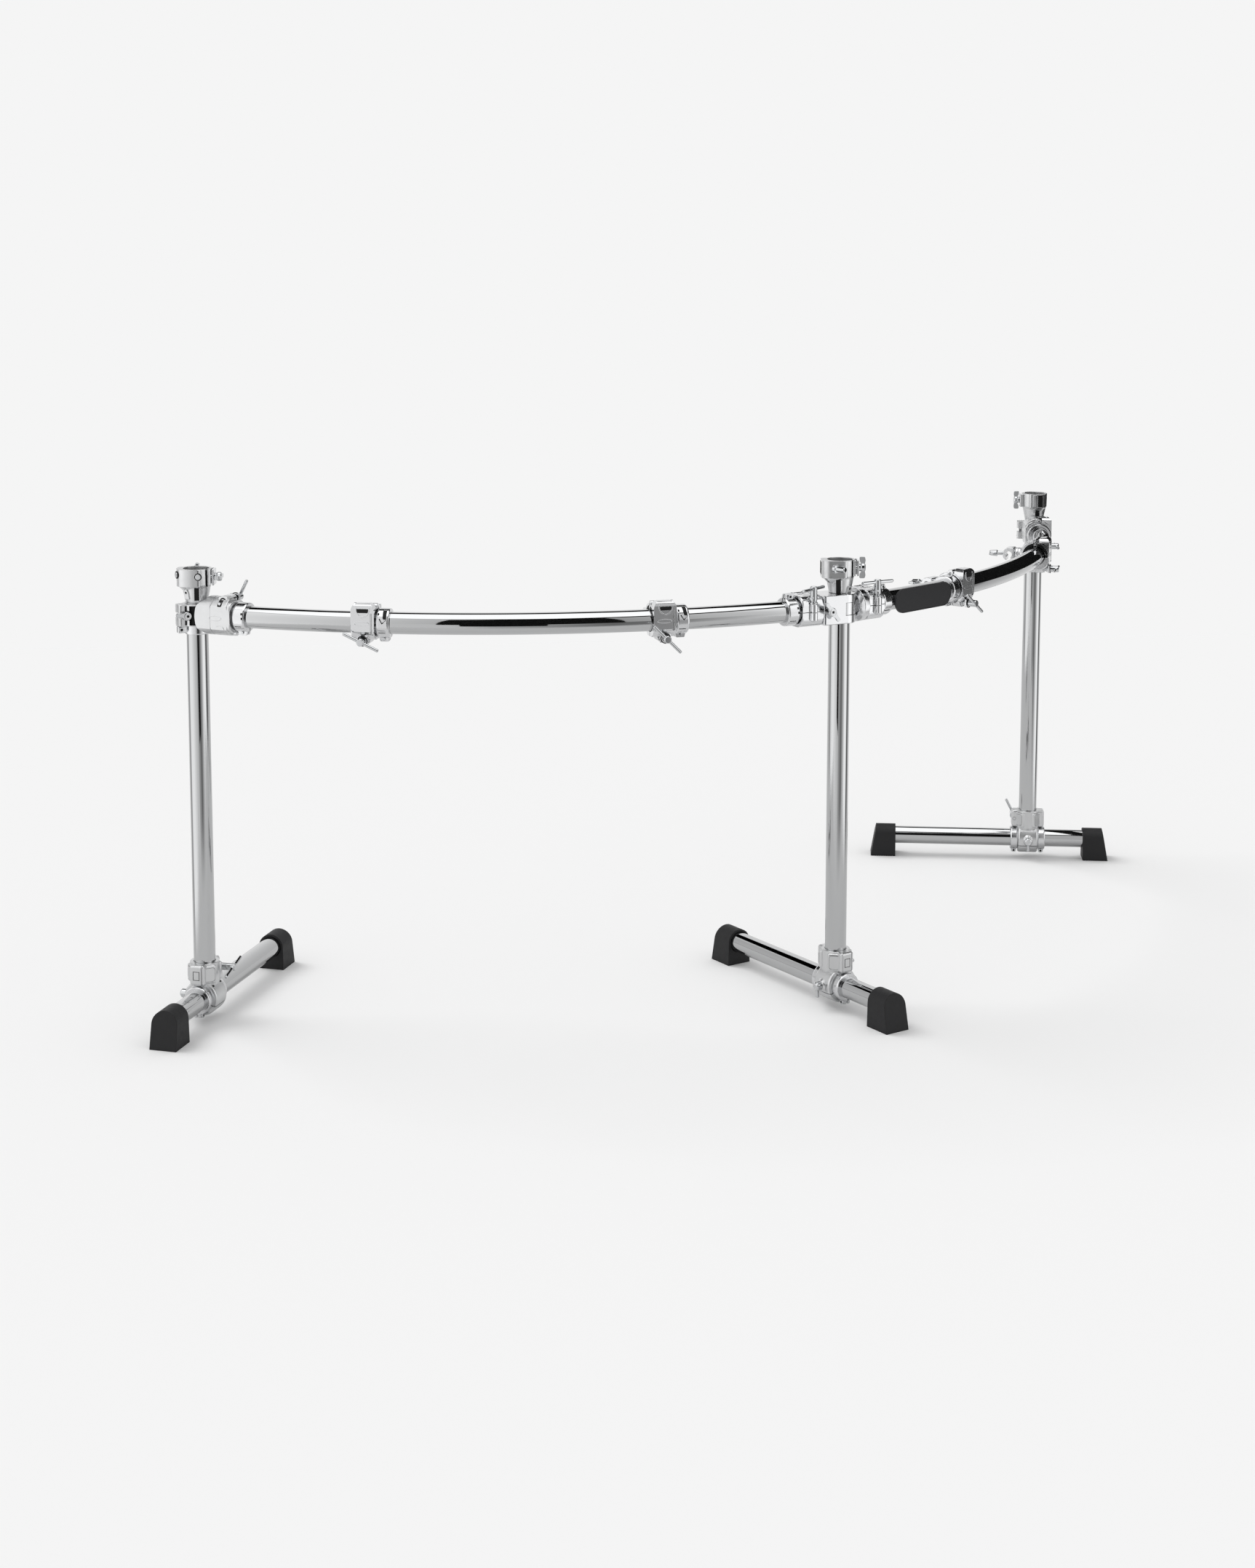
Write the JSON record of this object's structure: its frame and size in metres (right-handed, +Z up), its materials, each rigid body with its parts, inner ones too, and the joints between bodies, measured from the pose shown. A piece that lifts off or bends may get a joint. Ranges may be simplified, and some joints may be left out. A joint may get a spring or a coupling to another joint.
{
  "type": "drum rack frame",
  "caption": "Free-standing drum rack frame: curved chrome bars on T-foot posts, joined by hinged clamps, with sliding accessory clamps and open sockets on the post tops.",
  "frame": {"origin": "middle of the bounding box at floor height", "axes": "+X to the right as the audience sees the rack, along the chord of the front bar; +Z up; -Y towards the audience"},
  "size_m": [1.955, 1.2174, 0.8183],
  "materials": {
    "chrome_tube": "bright polished chrome plate",
    "chrome_casting": "chrome-plated die casting",
    "rubber_foot": "moulded black rubber, fine matt grain",
    "badge": "satin black plate with a lighter rim"
  },
  "bodies": {
    "front_frame": {"front_bar": "chrome_tube", "left_top_clamp_body": "chrome_casting", "middle_top_clamp_body": "chrome_casting"},
    "wing": {"wing_bar": "chrome_tube", "wing_pivot_clamp_body": "chrome_casting", "right_top_clamp_body": "chrome_casting", "badge_plate": "badge"},
    "left_post": {"left_post": "chrome_tube"},
    "left_socket": {"left_socket_body": "chrome_casting"},
    "left_socket_bolt": {"left_socket_wing_bolt": "chrome_casting"},
    "left_base": {"left_base_clamp_body": "chrome_casting", "left_leg_tube": "chrome_tube", "left_leg_long_foot": "rubber_foot", "left_leg_short_foot": "rubber_foot"},
    "left_base_t_bolt": {"left_base_clamp_t_bolt": "chrome_casting"},
    "left_base_wing_bolt": {"left_base_clamp_wing_bolt": "chrome_casting"},
    "middle_post": {"middle_post": "chrome_tube"},
    "middle_socket": {"middle_socket_body": "chrome_casting"},
    "middle_socket_bolt": {"middle_socket_wing_bolt": "chrome_casting"},
    "middle_base": {"middle_base_clamp_body": "chrome_casting", "middle_leg_tube": "chrome_tube", "middle_leg_long_foot": "rubber_foot", "middle_leg_short_foot": "rubber_foot"},
    "middle_base_t_bolt": {"middle_base_clamp_t_bolt": "chrome_casting"},
    "middle_base_wing_bolt": {"middle_base_clamp_wing_bolt": "chrome_casting"},
    "right_post": {"right_post": "chrome_tube"},
    "right_socket": {"right_socket_body": "chrome_casting"},
    "right_socket_bolt": {"right_socket_wing_bolt": "chrome_casting"},
    "right_base": {"right_base_clamp_body": "chrome_casting", "right_leg_tube": "chrome_tube", "right_leg_long_foot": "rubber_foot", "right_leg_short_foot": "rubber_foot"},
    "right_base_t_bolt": {"right_base_clamp_t_bolt": "chrome_casting"},
    "right_base_wing_bolt": {"right_base_clamp_wing_bolt": "chrome_casting"},
    "left_gate": {"left_top_clamp_gate": "chrome_casting"},
    "left_t_bolt": {"left_top_clamp_t_bolt": "chrome_casting"},
    "left_wing_bolt": {"left_top_clamp_wing_bolt": "chrome_casting"},
    "right_gate": {"right_top_clamp_gate": "chrome_casting"},
    "right_t_bolt": {"right_top_clamp_t_bolt": "chrome_casting"},
    "right_wing_bolt": {"right_top_clamp_wing_bolt": "chrome_casting"},
    "middle_gate": {"middle_top_clamp_gate": "chrome_casting"},
    "middle_t_bolt": {"middle_top_clamp_t_bolt": "chrome_casting"},
    "middle_wing_bolt": {"middle_top_clamp_wing_bolt": "chrome_casting"},
    "pivot_t_bolt": {"wing_pivot_clamp_t_bolt": "chrome_casting"},
    "front_multi_clamp_1": {"front_multi_clamp_1_base": "chrome_casting"},
    "front_multi_clamp_1_gate": {"front_multi_clamp_1_gate": "chrome_casting"},
    "front_multi_clamp_1_t_bolt": {"front_multi_clamp_1_t_bolt": "chrome_casting"},
    "front_multi_clamp_1_jaw": {"front_multi_clamp_1_jaw": "chrome_casting"},
    "front_multi_clamp_2": {"front_multi_clamp_2_base": "chrome_casting"},
    "front_multi_clamp_2_gate": {"front_multi_clamp_2_gate": "chrome_casting"},
    "front_multi_clamp_2_t_bolt": {"front_multi_clamp_2_t_bolt": "chrome_casting"},
    "front_multi_clamp_2_jaw": {"front_multi_clamp_2_jaw": "chrome_casting"},
    "wing_multi_clamp_3": {"wing_multi_clamp_3_base": "chrome_casting"},
    "wing_multi_clamp_3_gate": {"wing_multi_clamp_3_gate": "chrome_casting"},
    "wing_multi_clamp_3_t_bolt": {"wing_multi_clamp_3_t_bolt": "chrome_casting"},
    "wing_multi_clamp_3_jaw": {"wing_multi_clamp_3_jaw": "chrome_casting"},
    "wing_multi_clamp_4": {"wing_multi_clamp_4_base": "chrome_casting"},
    "wing_multi_clamp_4_gate": {"wing_multi_clamp_4_gate": "chrome_casting"},
    "wing_multi_clamp_4_t_bolt": {"wing_multi_clamp_4_t_bolt": "chrome_casting"},
    "wing_multi_clamp_4_jaw": {"wing_multi_clamp_4_jaw": "chrome_casting"}
  },
  "joints": [
    {"name": "wing_fold", "type": "hinge", "parent": "front_frame", "child": "wing", "pos_m": [0.22803, -0.43636, 0.729], "axis": [0, 0, 1], "range_deg": [-40, 25]},
    {"name": "left_post_slide", "type": "slide", "parent": "front_frame", "child": "left_post", "axis": [0, 0, 1], "range_m": [0, 0.3]},
    {"name": "left_socket_swivel", "type": "hinge", "parent": "left_post", "child": "left_socket", "pos_m": [-0.89717, -0.43604, 0.75], "axis": [0, 0, 1], "continuous": true},
    {"name": "left_socket_bolt_turn", "type": "hinge", "parent": "left_socket", "child": "left_socket_bolt", "pos_m": [-0.89717, -0.43604, 0.7943], "axis": [0.9976, -0.0698, 0], "continuous": true},
    {"name": "left_base_swivel", "type": "hinge", "parent": "left_post", "child": "left_base", "pos_m": [-0.89717, -0.43604, 0], "axis": [0, 0, 1], "continuous": true},
    {"name": "left_base_t_bolt_turn", "type": "hinge", "parent": "left_base", "child": "left_base_t_bolt", "pos_m": [-0.88756, -0.40815, 0.0885], "axis": [0.9455, -0.3256, 0], "continuous": true},
    {"name": "left_base_wing_bolt_turn", "type": "hinge", "parent": "left_base", "child": "left_base_wing_bolt", "pos_m": [-0.89717, -0.43604, 0.043], "axis": [-0.9455, 0.3256, 0], "continuous": true},
    {"name": "middle_post_slide", "type": "slide", "parent": "front_frame", "child": "middle_post", "axis": [0, 0, 1], "range_m": [0, 0.3]},
    {"name": "middle_socket_swivel", "type": "hinge", "parent": "middle_post", "child": "middle_socket", "pos_m": [0.22803, -0.43636, 0.755], "axis": [0, 0, 1], "continuous": true},
    {"name": "middle_socket_bolt_turn", "type": "hinge", "parent": "middle_socket", "child": "middle_socket_bolt", "pos_m": [0.22803, -0.43636, 0.7993], "axis": [0.9976, -0.0698, 0], "continuous": true},
    {"name": "middle_base_swivel", "type": "hinge", "parent": "middle_post", "child": "middle_base", "pos_m": [0.22803, -0.43636, 0], "axis": [0, 0, 1], "continuous": true},
    {"name": "middle_base_t_bolt_turn", "type": "hinge", "parent": "middle_base", "child": "middle_base_t_bolt", "pos_m": [0.21315, -0.41089, 0.0885], "axis": [0.8634, 0.5045, 0], "continuous": true},
    {"name": "middle_base_wing_bolt_turn", "type": "hinge", "parent": "middle_base", "child": "middle_base_wing_bolt", "pos_m": [0.22803, -0.43636, 0.043], "axis": [-0.8634, -0.5045, 0], "continuous": true},
    {"name": "right_post_slide", "type": "slide", "parent": "wing", "child": "right_post", "axis": [0, 0, 1], "range_m": [0, 0.3]},
    {"name": "right_socket_swivel", "type": "hinge", "parent": "right_post", "child": "right_socket", "pos_m": [0.80168, 0.53152, 0.75], "axis": [0, 0, 1], "continuous": true},
    {"name": "right_socket_bolt_turn", "type": "hinge", "parent": "right_socket", "child": "right_socket_bolt", "pos_m": [0.80168, 0.53152, 0.7943], "axis": [-0.9976, 0.0698, 0], "continuous": true},
    {"name": "right_base_swivel", "type": "hinge", "parent": "right_post", "child": "right_base", "pos_m": [0.80168, 0.53152, 0], "axis": [0, 0, 1], "continuous": true},
    {"name": "right_base_t_bolt_turn", "type": "hinge", "parent": "right_base", "child": "right_base_t_bolt", "pos_m": [0.77252, 0.53604, 0.0885], "axis": [0.153, 0.9882, 0], "continuous": true},
    {"name": "right_base_wing_bolt_turn", "type": "hinge", "parent": "right_base", "child": "right_base_wing_bolt", "pos_m": [0.80168, 0.53152, 0.043], "axis": [-0.153, -0.9882, 0], "continuous": true},
    {"name": "left_gate_hinge", "type": "hinge", "parent": "front_frame", "child": "left_gate", "pos_m": [-0.84177, -0.46158, 0.701], "axis": [-0.9081, 0.4187, 0], "range_deg": [0, 60]},
    {"name": "left_t_bolt_turn", "type": "hinge", "parent": "left_gate", "child": "left_t_bolt", "pos_m": [-0.84177, -0.46158, 0.7565], "axis": [0.4187, 0.9081, 0], "continuous": true},
    {"name": "left_wing_bolt_turn", "type": "hinge", "parent": "front_frame", "child": "left_wing_bolt", "pos_m": [-0.91869, -0.44666, 0.729], "axis": [0.4423, -0.8969, 0], "range_deg": [-45, 90]},
    {"name": "right_gate_hinge", "type": "hinge", "parent": "wing", "child": "right_gate", "pos_m": [0.7954, 0.47085, 0.757], "axis": [-0.103, -0.9947, 0], "range_deg": [0, 60]},
    {"name": "right_t_bolt_turn", "type": "hinge", "parent": "right_gate", "child": "right_t_bolt", "pos_m": [0.7954, 0.47085, 0.7015], "axis": [0.9947, -0.103, 0], "continuous": true},
    {"name": "right_wing_bolt_turn", "type": "hinge", "parent": "wing", "child": "right_wing_bolt", "pos_m": [0.77828, 0.53688, 0.729], "axis": [0.2234, 0.9747, 0], "range_deg": [-15, 130]},
    {"name": "middle_gate_hinge", "type": "hinge", "parent": "front_frame", "child": "middle_gate", "pos_m": [0.1509, -0.44063, 0.729], "axis": [-0.9105, -0.4134, 0], "range_deg": [0, 60]},
    {"name": "middle_t_bolt_turn", "type": "hinge", "parent": "middle_gate", "child": "middle_t_bolt", "pos_m": [0.17384, -0.49117, 0.729], "axis": [0, 0, 1], "continuous": true},
    {"name": "middle_wing_bolt_turn", "type": "hinge", "parent": "front_frame", "child": "middle_wing_bolt", "pos_m": [0.18979, -0.45372, 0.729], "axis": [0.4134, -0.9105, 0], "continuous": true},
    {"name": "pivot_t_bolt_turn", "type": "hinge", "parent": "wing", "child": "pivot_t_bolt", "pos_m": [0.29795, -0.42139, 0.729], "axis": [0, 0, 1], "continuous": true},
    {"name": "front_multi_clamp_1_travel", "type": "hinge", "parent": "front_frame", "child": "front_multi_clamp_1", "pos_m": [-0.33464, 0.64803, 0.729], "axis": [0, 0, 1], "range_deg": [-8.5, 0]},
    {"name": "front_multi_clamp_1_gate_hinge", "type": "hinge", "parent": "front_multi_clamp_1", "child": "front_multi_clamp_1_gate", "pos_m": [-0.6, -0.54276, 0.757], "axis": [-0.9761, 0.2175, 0], "range_deg": [0, 60]},
    {"name": "front_multi_clamp_1_t_bolt_turn", "type": "hinge", "parent": "front_multi_clamp_1_gate", "child": "front_multi_clamp_1_t_bolt", "pos_m": [-0.6, -0.54276, 0.7015], "axis": [-0.2175, -0.9761, 0], "continuous": true},
    {"name": "front_multi_clamp_1_jaw_turn", "type": "hinge", "parent": "front_multi_clamp_1", "child": "front_multi_clamp_1_jaw", "pos_m": [-0.6, -0.54276, 0.729], "axis": [0.2175, 0.9761, 0], "continuous": true},
    {"name": "front_multi_clamp_2_travel", "type": "hinge", "parent": "front_frame", "child": "front_multi_clamp_2", "pos_m": [-0.33464, 0.64803, 0.729], "axis": [0, 0, 1], "range_deg": [-20, 0]},
    {"name": "front_multi_clamp_2_gate_hinge", "type": "hinge", "parent": "front_multi_clamp_2", "child": "front_multi_clamp_2_gate", "pos_m": [-0.09717, -0.54863, 0.757], "axis": [-0.9809, -0.1947, 0], "range_deg": [0, 60]},
    {"name": "front_multi_clamp_2_t_bolt_turn", "type": "hinge", "parent": "front_multi_clamp_2_gate", "child": "front_multi_clamp_2_t_bolt", "pos_m": [-0.09717, -0.54863, 0.7015], "axis": [0.1947, -0.9809, 0], "continuous": true},
    {"name": "front_multi_clamp_2_jaw_turn", "type": "hinge", "parent": "front_multi_clamp_2", "child": "front_multi_clamp_2_jaw", "pos_m": [-0.09717, -0.54863, 0.729], "axis": [-0.1947, 0.9809, 0], "continuous": true},
    {"name": "wing_multi_clamp_3_travel", "type": "hinge", "parent": "wing", "child": "wing_multi_clamp_3", "pos_m": [-0.41771, 0.60045, 0.729], "axis": [0, 0, 1], "range_deg": [0, 8.5]},
    {"name": "wing_multi_clamp_3_gate_hinge", "type": "hinge", "parent": "wing_multi_clamp_3", "child": "wing_multi_clamp_3_gate", "pos_m": [0.47778, -0.22811, 0.757], "axis": [-0.6791, -0.734, 0], "range_deg": [0, 60]},
    {"name": "wing_multi_clamp_3_t_bolt_turn", "type": "hinge", "parent": "wing_multi_clamp_3_gate", "child": "wing_multi_clamp_3_t_bolt", "pos_m": [0.47778, -0.22811, 0.7015], "axis": [0.734, -0.6791, 0], "continuous": true},
    {"name": "wing_multi_clamp_3_jaw_turn", "type": "hinge", "parent": "wing_multi_clamp_3", "child": "wing_multi_clamp_3_jaw", "pos_m": [0.47778, -0.22811, 0.729], "axis": [-0.734, 0.6791, 0], "continuous": true},
    {"name": "wing_multi_clamp_4_travel", "type": "hinge", "parent": "wing", "child": "wing_multi_clamp_4", "pos_m": [-0.41771, 0.60045, 0.729], "axis": [0, 0, 1], "range_deg": [-9.4, 0]},
    {"name": "wing_multi_clamp_4_gate_hinge", "type": "hinge", "parent": "wing_multi_clamp_4", "child": "wing_multi_clamp_4_gate", "pos_m": [0.72137, 0.16353, 0.757], "axis": [-0.3581, -0.9337, 0], "range_deg": [0, 60]},
    {"name": "wing_multi_clamp_4_t_bolt_turn", "type": "hinge", "parent": "wing_multi_clamp_4_gate", "child": "wing_multi_clamp_4_t_bolt", "pos_m": [0.72137, 0.16353, 0.7015], "axis": [0.9337, -0.3581, 0], "continuous": true},
    {"name": "wing_multi_clamp_4_jaw_turn", "type": "hinge", "parent": "wing_multi_clamp_4", "child": "wing_multi_clamp_4_jaw", "pos_m": [0.72137, 0.16353, 0.729], "axis": [-0.9337, 0.3581, 0], "continuous": true}
  ]
}
